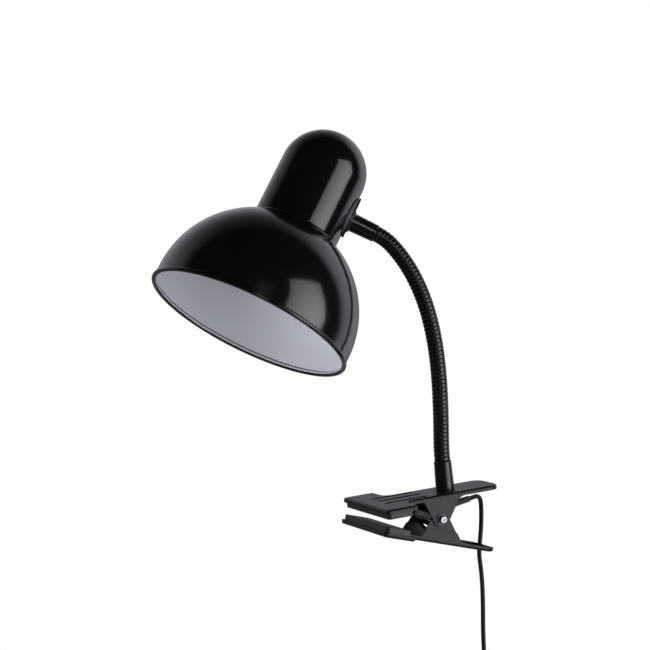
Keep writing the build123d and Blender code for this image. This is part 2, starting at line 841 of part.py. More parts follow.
cord_radii = bend_radii(cord_route)
print("cord bend radii", [round(radius, 1) for radius in cord_radii])
with BuildPart() as supply_cord:
    with BuildLine() as cord_path:
        FilletPolyline(*cord_route, radius=cord_radii)
    with BuildSketch(Plane(origin=cord_route[0], z_dir=cord_route[1] - cord_route[0])):
        Circle(cord_diameter / 2)
    sweep(path=cord_path.line)
print("cord length", round(run_length(cord_path.line), 1))
save(supply_cord, "supply_cord")

# In-line switch, hanging on the cord: two halves, two screws and a rocker in a well
switch_top = cord_route[-1] + Vector(0, 0, -seat)
switch_middle = switch_top + Vector(0, 0, -switch_length / 2)
switch_back = Plane(origin=switch_middle, x_dir=(1, 0, 0), z_dir=(0, 1, 0))
switch_face = Plane(origin=switch_middle, x_dir=(1, 0, 0), z_dir=(0, -1, 0))
half_depth = switch_depth / 2
hollow_length = switch_length - 4 * screw_inset
sweep_radius = sqrt((rocker_length / 2) ** 2 + rocker_rise**2)
pressed = atan2(rocker_rise, rocker_length / 2) - radians(rocker_tilt)
well_length = 2 * (sweep_radius * cos(pressed) + slip)
well_width = rocker_width + 2 * slip
rocker_pivot = switch_middle + Vector(0, rocker_sink - half_depth, 0)
screw_places = [(side * switch_width / 4, side * (screw_inset - switch_length / 2)) for side in (1, -1)]


def half_shell(split_plane):
    """Half of the switch's housing, hollow towards its split."""
    with BuildSketch(split_plane.offset(seat / 2)) as outline:
        RectangleRounded(switch_width, switch_length, switch_round)
    extrude(outline.sketch, amount=half_depth - seat / 2)
    outside = split_plane.offset(half_depth).origin
    fillet(faces().sort_by_distance(outside)[0].outer_wire().edges(), switch_round / 2)
    with BuildSketch(split_plane) as hollow:
        Rectangle(switch_width - 2 * switch_wall, hollow_length)
    extrude(hollow.sketch, amount=half_depth - switch_wall, mode=Mode.SUBTRACT)


def screw_bores(mouth_plane, radius, depth):
    """Both screws' holes, or the screws themselves, from a plane into the switch."""
    with BuildSketch(mouth_plane) as mouths:
        with Locations(*screw_places):
            Circle(radius)
    return extrude(mouths.sketch, amount=-depth, mode=Mode.PRIVATE)


with BuildPart() as switch_base:
    half_shell(switch_back)
    add(screw_bores(switch_face, screw_radius + seat, half_depth - switch_wall), mode=Mode.SUBTRACT)
save(switch_base, "switch_base")

with BuildPart() as switch_cover:
    half_shell(switch_face)
    with BuildSketch(switch_face.offset(half_depth - switch_wall - well_depth)):
        Rectangle(well_width + 2 * well_wall, well_length + 2 * well_wall)
    extrude(amount=well_depth + switch_wall / 2)
    with BuildSketch(switch_face):
        Rectangle(well_width, well_length)
    extrude(amount=switch_depth, mode=Mode.SUBTRACT)
    with BuildSketch(Plane(origin=rocker_pivot, x_dir=(0, 1, 0), z_dir=(1, 0, 0))):
        Circle(rocker_pin_radius + running)
    extrude(amount=well_width / 2 + well_wall, both=True, mode=Mode.SUBTRACT)
    add(screw_bores(switch_face.offset(half_depth), screw_radius + hole_play, half_depth), mode=Mode.SUBTRACT)
    add(screw_bores(switch_face.offset(half_depth), screw_head_radius + hole_play, screw_sink), mode=Mode.SUBTRACT)
save(switch_cover, "switch_cover")

screw_seat = half_depth - screw_sink + seat
with BuildPart() as switch_screws:
    add(screw_bores(switch_face.offset(half_depth), screw_head_radius, half_depth - screw_seat))
    add(screw_bores(switch_face.offset(screw_seat), screw_radius, screw_seat + half_depth - 2 * switch_wall))
save(switch_screws, "switch_screws")

tip = radians(rocker_tilt)
with BuildPart() as switch_rocker:
    with BuildSketch(Plane(origin=rocker_pivot, x_dir=(0, sin(tip), cos(tip)), z_dir=(1, 0, 0))):
        with BuildLine():
            Polyline(
                (-rocker_length / 2, -rocker_flank),
                (0, -rocker_keel),
                (rocker_length / 2, -rocker_flank),
                (rocker_length / 2, rocker_rise),
                (0, rocker_dip),
                (-rocker_length / 2, rocker_rise),
                close=True,
            )
        make_face()
    extrude(amount=rocker_width / 2, both=True)
    with BuildSketch(Plane(origin=rocker_pivot, x_dir=(0, 1, 0), z_dir=(1, 0, 0))):
        Circle(rocker_pin_radius)
    extrude(amount=well_width / 2 + rocker_pin_length, both=True)
save(switch_rocker, "switch_rocker")

# Coil of the cord beyond the switch: layers spiral in and out, and climb where they turn back
coil_start = switch_top + Vector(0, 0, -switch_length - seat)
coil_middle = coil_start + Vector(-coil_radius, 0, -coil_entry)
coil_points = []
radius = coil_radius
for layer, halves in enumerate(coil_halves):
    inward = -1 if layer % 2 == 0 else 1
    for half in range(halves + 1):
        steady = 0 < half < halves
        growth = inward * coil_pitch / radians(360) if steady else 0.0
        angle = -radians(180) * len(coil_points)
        spoke = Vector(cos(angle), 0, sin(angle))
        ahead = Vector(sin(angle), 0, -cos(angle))
        place = coil_middle + spoke * radius + Vector(0, layer * coil_pitch, 0)
        coil_points.append((place, (spoke * growth + ahead * radius).normalized()))
        if half < halves:
            radius += inward * coil_pitch / 2
coil_end = coil_points[-1][0] + Vector(0, 0, -coil_exit)

with BuildPart() as cord_coil:
    with BuildLine() as coil_path:
        Line(coil_start, coil_points[0][0])
        for (near, leaving), (far, arriving) in zip(coil_points, coil_points[1:]):
            biarc(near, leaving, far, arriving)
        Line(coil_points[-1][0], coil_end)
    with BuildSketch(Plane(origin=coil_start, z_dir=(0, 0, -1))):
        Circle(cord_diameter / 2)
    sweep(path=coil_path.line)
print("coil gap", round(least_gap(coil_path.line, cord_diameter), 2))
print("coil length", round(run_length(coil_path.line), 1))
save(cord_coil, "cord_coil")

coil_inner = coil_radius - coil_halves[0] * coil_pitch / 2
coil_depth = (len(coil_halves) - 1) * coil_pitch
tie_span = coil_radius - coil_inner + cord_diameter + 2 * tie_play
tie_rise = coil_depth + cord_diameter + 2 * tie_play
with BuildPart() as cord_tie:
    with BuildSketch(Plane(origin=coil_middle + Vector(0, 0, -tie_width / 2))):
        with Locations((-(coil_radius + coil_inner) / 2, coil_depth / 2)):
            RectangleRounded(tie_span + 2 * tie_thickness, tie_rise + 2 * tie_thickness, 2 * tie_thickness)
            RectangleRounded(tie_span, tie_rise, tie_thickness, mode=Mode.SUBTRACT)
    extrude(amount=tie_width)
save(cord_tie, "cord_tie")

# Flat two-pin plug
plug_top = coil_end + Vector(0, 0, -seat)
plug_section = Plane(origin=plug_top, x_dir=(1, 0, 0), z_dir=(0, -1, 0))
plug_foot = -plug_relief_length - plug_length
pin_places = [(-pin_spacing / 2, 0), (pin_spacing / 2, 0)]
foot_plane = Plane(origin=plug_top + Vector(0, 0, plug_foot), x_dir=(1, 0, 0), z_dir=(0, 0, -1))

with BuildPart() as plug_body:
    with BuildSketch(plug_section):
        with BuildLine():
            Polyline(
                (-plug_neck / 2, -plug_relief_length),
                (-plug_width / 2, -plug_relief_length - plug_shoulder),
                (-plug_width / 2, plug_foot),
                (plug_width / 2, plug_foot),
                (plug_width / 2, -plug_relief_length - plug_shoulder),
                (plug_neck / 2, -plug_relief_length),
                close=True,
            )
        make_face()
    extrude(amount=plug_thickness / 2, both=True)
    fillet(edges().filter_by(Axis.Y), plug_round)
    turn(plug_section, [
        (0, -plug_relief_length - plug_round),
        (plug_relief_radius, -plug_relief_length - plug_round),
        (plug_relief_radius, -plug_relief_length),
        (spout_tip_radius, 0),
        (0, 0),
    ])
    with BuildSketch(foot_plane):
        with Locations(*pin_places):
            Circle(pin_radius + seat)
    extrude(amount=-pin_root - seat, mode=Mode.SUBTRACT)
save(plug_body, "plug_body")

with BuildPart() as plug_pins:
    with BuildSketch(foot_plane.offset(pin_length)):
        with Locations(*pin_places):
            Circle(pin_radius)
    extrude(amount=-pin_length - pin_root)
    fillet(edges().group_by(Axis.Z)[0], pin_radius / 2)
save(plug_pins, "plug_pins")
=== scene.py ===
"""Clip-on gooseneck reading lamp: shade, ribbed neck, spring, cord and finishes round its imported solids."""

import bmesh
import bpy
import numpy as np
from bpy.props import FloatProperty, FloatVectorProperty, IntProperty, PointerProperty
from bpy.types import Operator, Panel, PropertyGroup
from mathutils import Matrix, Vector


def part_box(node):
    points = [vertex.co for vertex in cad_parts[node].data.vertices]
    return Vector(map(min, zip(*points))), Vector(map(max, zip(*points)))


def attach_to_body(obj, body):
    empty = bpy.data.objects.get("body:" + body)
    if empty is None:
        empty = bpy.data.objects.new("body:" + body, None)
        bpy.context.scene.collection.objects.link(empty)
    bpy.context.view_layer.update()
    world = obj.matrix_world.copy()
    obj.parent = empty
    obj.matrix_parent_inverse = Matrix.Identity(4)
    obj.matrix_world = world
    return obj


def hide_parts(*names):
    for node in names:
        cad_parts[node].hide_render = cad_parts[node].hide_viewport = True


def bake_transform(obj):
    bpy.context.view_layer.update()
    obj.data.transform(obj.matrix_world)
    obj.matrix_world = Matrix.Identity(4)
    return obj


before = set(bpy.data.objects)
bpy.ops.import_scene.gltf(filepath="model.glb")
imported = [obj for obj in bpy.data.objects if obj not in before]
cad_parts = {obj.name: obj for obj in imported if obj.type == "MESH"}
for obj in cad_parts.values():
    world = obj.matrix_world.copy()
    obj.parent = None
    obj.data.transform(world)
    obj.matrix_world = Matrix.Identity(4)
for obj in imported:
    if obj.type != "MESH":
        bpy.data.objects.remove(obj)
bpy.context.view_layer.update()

bl_info = {
    "name": "Clip-on Reading Lamp",
    "version": (1, 0, 0),
    "blender": (4, 5, 0),
    "location": "View3D > Sidebar > Reading Lamp",
    "description": "Shade, gooseneck, clip, cord and stage of a clip-on reading lamp",
    "category": "Object",
}

NECK_LENGTHS = 12
X_AXIS, Y_AXIS, Z_AXIS = np.eye(3)

# Eye and picture axes of the camera, worked out from the lamp's edges in the photograph.
CAMERA_EYE = np.array([-0.492063, -1.058752, 0.220634])
CAMERA_RIGHT = np.array([0.908925, -0.405474, -0.097191])
CAMERA_UP = np.array([0.117506, 0.025446, 0.992746])
CAMERA_BACK = np.array([-0.400059, -0.913753, 0.070774])

EVEN = (1.0, 1.0, 1.0)  # scale of a grain that runs alike in all directions
WHITE = (1.0, 1.0, 1.0, 1.0)
WELD = 1e-7  # points closer than this are one
SHARP_EDGE = np.radians(50.0)


def size(name, description, default):
    """A length in metres that shows in the panel."""
    return FloatProperty(name=name, description=description, default=default, subtype="DISTANCE", unit="LENGTH",
                         precision=5)


def angle(name, description, degrees):
    """An angle, written in degrees."""
    return FloatProperty(name=name, description=description, default=float(np.radians(degrees)), subtype="ANGLE",
                         unit="ROTATION")


def colour(name, description, default):
    """A linear colour."""
    return FloatVectorProperty(name=name, description=description, default=default, subtype="COLOR", size=3,
                               min=0.0, max=1.0)


class NeckSettings(PropertyGroup):
    """Course and ribs of the gooseneck."""

    foot_x: size("Foot", "Distance of the neck from the middle of the jaws", 0.0545)
    foot_z: size("Foot height", "Top of the clip's plate", 0.0072)
    ferrule: size("Base ferrule", "Height of the ferrule under the ribs", 0.0215)
    yaw: angle("Yaw", "Turn of the neck's plane from the clip's length", 25.0)
    roll: angle("Roll", "Sideways tip of the neck's plane", 1.6)
    lean: angle("Lean", "Backward lean at the foot", 5.5)
    bend: angle("Bend", "Forward lean near the head", 46.0)
    power: FloatProperty(name="Power", description="How late the bend comes", default=2.4)
    head_lean: angle("Head lean", "Lean where the neck enters the head", 58.1)
    ribs: IntProperty(name="Ribs", description="Ribs in each length of the neck", default=5)
    pitch: size("Pitch", "Distance between ribs", 0.003)
    crest: size("Crest", "Radius over the ribs", 0.00585)
    root: size("Root", "Radius between the ribs", 0.0054)
    paint: colour("Paint", "Colour of the ribbed tube", (0.006, 0.006, 0.007))


class ShadeSettings(PropertyGroup):
    """Spun shade and its cap."""

    ferrule: size("Head ferrule", "Length of the ferrule between neck and disc", 0.0204)
    disc_face: size("Disc face", "Distance of the backing disc from the cap's axis", 0.0339)
    disc: size("Disc", "Thickness of the backing disc", 0.0012)
    disc_rise: size("Disc rise", "Height of the disc's middle above the ferrule", 0.0029)
    gasket_reach: size("Gasket reach", "Half length of the saddle gasket", 0.0160)
    gasket_half: size("Gasket half width", "Half width of the saddle gasket", 0.0100)
    gasket_hole: size("Gasket hole", "Radius of the gasket's hole for the nipple", 0.00515)
    twist: angle("Twist", "Turn of the head about the ferrule", -19.5)
    attach: size("Attachment", "Height of the ferrule above the mouth", 0.104418)
    rim: size("Mouth radius", "Radius over the rolled rim", 0.0763)
    bead: size("Bead", "Radius of the rolled rim", 0.0017)
    # Where the rolled rim meets the wall, the bowl's faces into the crease are black: painted shade in the crease.
    crease: size("Crease", "Bare line where the rolled rim meets the wall", 0.0006)
    wall: size("Wall", "Thickness of the spun sheet", 0.0008)
    lift: size("Lift", "Height of the bowl's centre above the mouth", 0.0108)
    hole: size("Holder hole", "Radius of the hole for the lampholder", 0.01995)
    cap: size("Cap radius", "Radius of the cap above the bowl", 0.0321)
    cap_wall: size("Cap wall", "Thickness of the cap", 0.001)
    flare: size("Flare", "Radius of the hollow where the cap meets the bowl", 0.0028)
    dome: size("Dome", "Height of the dome's centre above the mouth", 0.128918)
    flat_margin: size("Flat margin", "How far the bowl's flat top stays inside the cap", 0.0006)
    paint: colour("Paint", "Gloss enamel outside", (0.0035, 0.0035, 0.004))
    inside: colour("Inside", "White enamel inside", (0.70, 0.71, 0.74))


class ClipSettings(PropertyGroup):
    """Torsion spring and finishes of the clip."""

    pivot_x: size("Pivot x", "Distance of the pivot from the middle of the jaws", 0.041)
    pivot_z: size("Pivot z", "Height of the pivot", -0.0106)
    wire: size("Wire", "Diameter of the spring's wire", 0.002)
    radius: size("Mean radius", "Radius at the middle of the wire", 0.006)
    turns: IntProperty(name="Turns", description="Turns of the spring", default=9)
    gap: size("Gap", "Gap between turns", 0.00095)
    leg: size("Leg", "Straight length of each leg", 0.024)
    low_slope: angle("Lower slope", "Slope of the leg under the lower handle", 42.994)
    high_slope: angle("Upper slope", "Slope of the leg under the upper handle", 25.194)
    paint: colour("Paint", "Satin enamel of the plates", (0.006, 0.006, 0.007))
    pads: colour("Pads", "Rubber of the jaw pads", (0.010, 0.009, 0.011))


class CordSettings(PropertyGroup):
    """Supply cord, with its coil put away below the switch."""

    diameter: size("Diameter", "Diameter of the cord", 0.0034)
    free_length: size("Free length", "From the outlet to the switch", 0.1356)
    wound_length: size("Wound length", "From the switch to the plug", 1.3231)
    radius: size("Coil radius", "Outer radius at the middle of the cord", 0.026)
    pitch: size("Coil pitch", "Distance between turns and between layers", 0.0048)
    entry: size("Entry", "Straight run before and after the coil", 0.030)
    steps: IntProperty(name="Steps", description="Control points in each turn", default=16)
    sheath: colour("Sheath", "Colour of the cord", (0.006, 0.006, 0.007))


class StageSettings(PropertyGroup):
    """Camera, floor and studio light."""

    floor: size("Floor", "Height of the floor", -0.330)
    floor_radius: size("Floor radius", "Radius of the floor", 0.80)
    floor_paint: colour("Floor", "Colour of the floor", (0.82, 0.82, 0.82))
    ambient: FloatProperty(name="Ambient", description="Light from all round", default=0.19)
    behind: FloatProperty(name="Behind", description="What gloss shows of the white wall behind", default=0.58)
    beside: FloatProperty(name="Beside", description="What gloss shows of it on the right", default=0.95)
    before: FloatProperty(name="Before", description="What gloss shows of the room before", default=0.012)
    window: FloatProperty(name="Window", description="Power of the large soft light", default=49.0, unit="POWER")
    fill: FloatProperty(name="Fill", description="Power of the low soft light", default=8.6, unit="POWER")
    glint: FloatProperty(name="Glint", description="Power of the small light that only gloss shows", default=1.6,
                         unit="POWER")


class Tone:
    """A shader socket: sums and products on it add their Math nodes."""

    def __init__(self, nodes, socket):
        self.nodes = nodes
        self.socket = socket

    def maths(self, operation, first, second):
        return self.nodes.node("ShaderNodeMath", {"operation": operation}, {0: first, 1: second})

    def __add__(self, other):
        return self.maths("ADD", self, other)

    __radd__ = __add__

    def __sub__(self, other):
        return self.maths("SUBTRACT", self, other)

    def __rsub__(self, other):
        return self.maths("SUBTRACT", other, self)

    def __mul__(self, other):
        return self.maths("MULTIPLY", self, other)

    __rmul__ = __mul__


class Nodes:
    """The node tree of a material or of the world."""

    def __init__(self, owner):
        owner.use_nodes = True
        self.tree = owner.node_tree
        self.tree.nodes.clear()

    def node(self, kind, settings, sockets, output=0):
        """Adds a node: its settings first, then the values or links of its sockets."""
        node = self.tree.nodes.new(kind)
        for setting, value in settings.items():
            setattr(node, setting, value)
        for socket, value in sockets.items():
            if isinstance(value, Tone):
                self.tree.links.new(value.socket, node.inputs[socket])
            else:
                node.inputs[socket].default_value = value
        return Tone(self, node.outputs[output]) if node.outputs else None


class Finish(Nodes):
    """A procedural material on Object coordinates."""

    def __init__(self, name):
        self.material = bpy.data.materials.new(name)
        super().__init__(self.material)
        self.place = self.node("ShaderNodeTexCoord", {}, {}, "Object")

    def grain(self, scale, detail=2.0, stretch=EVEN):
        """Noise of so many cells to the metre, stretched along an axis where asked."""
        place = self.place
        if stretch != EVEN:
            place = self.node("ShaderNodeMapping", {}, {"Vector": place, "Scale": stretch})
        return self.node("ShaderNodeTexNoise", {}, {"Vector": place, "Scale": scale, "Detail": detail}, "Fac")

    def specks(self, scale, low, high):
        """Mask of scattered spots: the noise where it passes from low to high."""
        return self.node("ShaderNodeMapRange", {"interpolation_type": "SMOOTHSTEP"},
                         {"Value": self.grain(scale), "From Min": low, "From Max": high})

    def mix(self, mask, first, second):
        """Colour from first to second as the mask goes from 0 to 1."""
        return self.node("ShaderNodeMix", {"data_type": "RGBA"}, {0: mask, 6: (*first, 1.0), 7: (*second, 1.0)}, 2)

    def bump(self, height, strength, distance):
        """Normal raised by a height."""
        return self.node("ShaderNodeBump", {}, {"Strength": strength, "Distance": distance, "Height": height})

    def surface(self, sockets):
        """Ends the material in one Principled shader."""
        shader = self.node("ShaderNodeBsdfPrincipled", {}, sockets)
        self.node("ShaderNodeOutputMaterial", {}, {"Surface": shader})
        return self.material


def shade_of(tone, factor):
    """A colour made lighter or darker."""
    return tuple(min(1.0, part * factor) for part in tone)


def gloss_enamel(name, tone, roughness, shine=0.5):
    """Stoved gloss enamel: faint orange peel, a few dust specks and smudges that dull the gloss."""
    coat = Finish(name)
    dust = coat.specks(scale=900.0, low=0.66, high=0.80)
    smudge = coat.grain(scale=28.0, detail=3.0)
    peel = coat.grain(scale=260.0, detail=1.0)
    return coat.surface({
        "Base Color": coat.mix(dust, tone, shade_of(tone, 2.4)),
        "Roughness": smudge * 0.05 + dust * 0.05 + (roughness - 0.025),
        "Normal": coat.bump(peel, strength=0.035, distance=0.0006),
        "Specular IOR Level": shine,
    })


def white_enamel(name, tone):
    """Matt white enamel inside the shade, a little uneven where it was sprayed."""
    coat = Finish(name)
    cloud = coat.grain(scale=18.0)
    tooth = coat.grain(scale=700.0)
    return coat.surface({
        "Base Color": coat.mix(cloud, shade_of(tone, 0.97), shade_of(tone, 1.03)),
        "Roughness": 0.34 + 0.12 * coat.grain(scale=60.0),
        "Normal": coat.bump(tooth, strength=0.05, distance=0.0003),
    })


def satin_enamel(name, tone, roughness):
    """Satin enamel on pressed sheet: fine grain, rubbed lighter in places."""
    coat = Finish(name)
    rub = coat.grain(scale=90.0, detail=4.0)
    tooth = coat.grain(scale=1900.0, detail=1.0)
    return coat.surface({
        "Base Color": coat.mix(rub, shade_of(tone, 0.8), shade_of(tone, 1.25)),
        "Roughness": roughness - 0.05 + 0.10 * coat.grain(scale=140.0),
        "Normal": coat.bump(tooth, strength=0.10, distance=0.0002),
        "Specular IOR Level": 0.23,
    })


def rubber(name, tone):
    """Moulded rubber: half dull, with a fine tooth and pale dust in it."""
    coat = Finish(name)
    dust = coat.specks(scale=1300.0, low=0.58, high=0.75)
    tooth = coat.grain(scale=2600.0)
    return coat.surface({
        "Base Color": coat.mix(dust * 0.5 + 0.4 * coat.grain(scale=70.0), tone, shade_of(tone, 1.6)),
        "Roughness": 0.36 + 0.14 * coat.grain(scale=160.0),
        "Normal": coat.bump(tooth, strength=0.16, distance=0.0002),
        "Specular IOR Level": 0.4,
    })


def metal(name, tone, roughness, stretch=EVEN):
    """Bare or plated metal with a slight stain, and fine scratches drawn out along an axis where asked."""
    coat = Finish(name)
    scratch = coat.grain(scale=900.0, detail=3.0, stretch=stretch)
    stain = coat.grain(scale=120.0, detail=3.0)
    return coat.surface({
        "Base Color": coat.mix(stain, shade_of(tone, 0.82), tone),
        "Metallic": 1.0,
        "Roughness": roughness - 0.06 + 0.12 * scratch,
        "Normal": coat.bump(scratch, strength=0.08, distance=0.0001),
    })


def moulding(name, tone, roughness):
    """Moulded plastic: spark-eroded tooth, flow marks and a few pale scuffs."""
    coat = Finish(name)
    scuff = coat.specks(scale=420.0, low=0.62, high=0.78)
    tooth = coat.grain(scale=3000.0, detail=1.0)
    return coat.surface({
        "Base Color": coat.mix(scuff * 0.4 + 0.3 * coat.grain(scale=60.0), tone, shade_of(tone, 1.7)),
        "Roughness": roughness - 0.05 + 0.1 * coat.grain(scale=220.0),
        "Normal": coat.bump(tooth, strength=0.12, distance=0.00015),
    })


def sheath(name, tone):
    """Soft vinyl sheath: half gloss, with slight waves from the drawing."""
    coat = Finish(name)
    wave = coat.grain(scale=340.0)
    return coat.surface({
        "Base Color": coat.mix(coat.grain(scale=80.0), shade_of(tone, 0.8), shade_of(tone, 1.3)),
        "Roughness": 0.30 + 0.12 * wave,
        "Normal": coat.bump(wave, strength=0.06, distance=0.0003),
        "Specular IOR Level": 0.2,
    })


def arm_axes(neck):
    """Level, upright and normal directions of the neck's plane: yawed about Z, then tipped about X."""
    across, along = np.sin(-neck.roll), np.cos(neck.roll)
    tip = np.array([[1.0, 0.0, 0.0], [0.0, along, -across], [0.0, across, along]])
    level = tip @ np.array([np.cos(neck.yaw), -np.sin(neck.yaw), 0.0])
    upright = tip @ Z_AXIS
    return level, upright, np.cross(level, upright)


def arm_line(neck, travel):
    """Points and directions of the neck's middle line at distances along its ribs.

    The lean at each joint grows as a power of its number. Between two joints the line is an arc, so its chord
    points half the arc's turn on, and is as long as the arc times sin(x)/x of that half turn.
    """
    level, upright, _ = arm_axes(neck)
    number = np.arange(NECK_LENGTHS + 1) / NECK_LENGTHS
    lean = (neck.bend + neck.lean) * number**neck.power - neck.lean
    lean[0] = 0.0
    lean[-1] = neck.head_lean
    length = neck.ribs * neck.pitch

    def pointing(tilt):
        return np.cos(tilt)[..., None] * upright - np.sin(tilt)[..., None] * level

    def chord(first, turn, run):
        return pointing(first + turn / 2) * (run * np.sinc(turn / (2 * np.pi)))[..., None]

    turns = np.diff(lean)
    foot = np.array([neck.foot_x, 0.0, neck.foot_z + neck.ferrule])
    chords = chord(lean[:-1], turns, np.full(NECK_LENGTHS, length))
    joints = foot + np.concatenate([np.zeros((1, 3)), np.cumsum(chords, 0)])
    travel = np.asarray(travel, float)
    index = np.clip((travel / length).astype(int), 0, NECK_LENGTHS - 1)
    run = travel - index * length
    turn = turns[index] * run / length
    return joints[index] + chord(lean[index], turn, run), pointing(lean[index] + turn)


def head_axes(neck, shade):
    """Middle of the shade's mouth, and its upward, outward and sideways directions.

    The shade's axis is square to the neck's end and twisted about it, and meets its line past ferrule and disc.
    """
    end, ahead = arm_line(neck, NECK_LENGTHS * neck.ribs * neck.pitch)
    level, upright, _ = arm_axes(neck)
    outward = -ahead
    square = upright * np.sin(neck.head_lean) + level * np.cos(neck.head_lean)
    upward = square * np.cos(shade.twist) + np.cross(outward, square) * np.sin(shade.twist)
    middle = end + ahead * (shade.ferrule + shade.disc_face)
    return middle - upward * shade.attach, upward, outward, np.cross(outward, upward)


def arc(centre, radius, first, last, steps):
    """Points of an arc: radius times cosine and sine of an evenly spaced angle, from the centre."""
    swing = np.linspace(first, last, steps)
    return np.stack([centre[0] + radius * np.cos(swing), centre[1] + radius * np.sin(swing)], 1)


def turned(profile, origin, axis, outward, steps):
    """Surface of revolution: each profile point's radius goes round the axis, its height along it."""
    swing = np.arange(steps) * 2 * np.pi / steps
    spokes = np.outer(np.cos(swing), outward) + np.outer(np.sin(swing), np.cross(axis, outward))
    return origin + profile[:, None, :1] * spokes + profile[:, None, 1:] * axis


def tube(line, ahead, side, radii, steps):
    """Circles of given radii carried along a line, square to it, closed to a point at both ends."""
    over = np.cross(ahead, side)
    swing = np.arange(steps) * 2 * np.pi / steps
    rings = np.cos(swing)[:, None] * side[:, None, :] + np.sin(swing)[:, None] * over[:, None, :]
    walls = line[:, None, :] + radii[:, None, None] * rings
    first = np.broadcast_to(line[0], (1, steps, 3))
    last = np.broadcast_to(line[-1], (1, steps, 3))
    return np.concatenate([first, walls, last])


def skin(name, points, finishes, closed=False, row_finish=None):
    """Mesh over a grid of points, rows by columns, that closes round its columns, and its rows where asked.

    The faces are turned outwards by the sign of the volume that they enclose.
    """
    rows, columns = points.shape[:2]
    index = np.arange(rows * columns).reshape(rows, columns)
    here = index if closed else index[:-1]
    above = np.roll(index, -1, 0) if closed else index[1:]
    faces = np.stack([here, np.roll(here, -1, 1), np.roll(above, -1, 1), above], -1).reshape(-1, 4)
    corners = points.reshape(-1, 3)
    a, b, c, d = (corners[faces[:, corner]] for corner in range(4))
    if np.sum(a * (np.cross(b, c) + np.cross(c, d))) < 0:
        faces = faces[:, ::-1]
    mesh = bpy.data.meshes.new(name)
    mesh.from_pydata(corners.tolist(), [], faces.tolist())
    mesh.polygons.foreach_set("use_smooth", np.ones(len(faces), bool))
    if row_finish is not None:
        mesh.polygons.foreach_set("material_index", np.repeat(row_finish, columns).astype(np.int32))
    for finish in finishes:
        mesh.materials.append(finish)
    shell = bmesh.new()
    shell.from_mesh(mesh)
    bmesh.ops.remove_doubles(shell, verts=shell.verts, dist=WELD)
    shell.to_mesh(mesh)
    shell.free()
    mesh.set_sharp_from_angle(angle=SHARP_EDGE)
    piece = bpy.data.objects.new(name, mesh)
    bpy.context.scene.collection.objects.link(piece)
    return piece


def flex(name, points, diameter, finish):
    """Round cord on one open NURBS spline with the given control points."""
    curve = bpy.data.curves.new(name, "CURVE")
    curve.dimensions = "3D"
    curve.resolution_u = 10
    curve.bevel_depth = diameter / 2
    curve.bevel_resolution = 5
    curve.use_fill_caps = True
    spline = curve.splines.new("NURBS")
    spline.points.add(len(points) - 1)
    spline.points.foreach_set("co", np.column_stack([points, np.ones(len(points))]).ravel())
    spline.order_u = 3
    spline.use_endpoint_u = True
    curve.materials.append(finish)
    piece = bpy.data.objects.new(name, curve)
    bpy.context.scene.collection.objects.link(piece)
    return piece


def dress(finish, *nodes):
    """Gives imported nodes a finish."""
    for node in nodes:
        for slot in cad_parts[node].material_slots:
            slot.material = finish


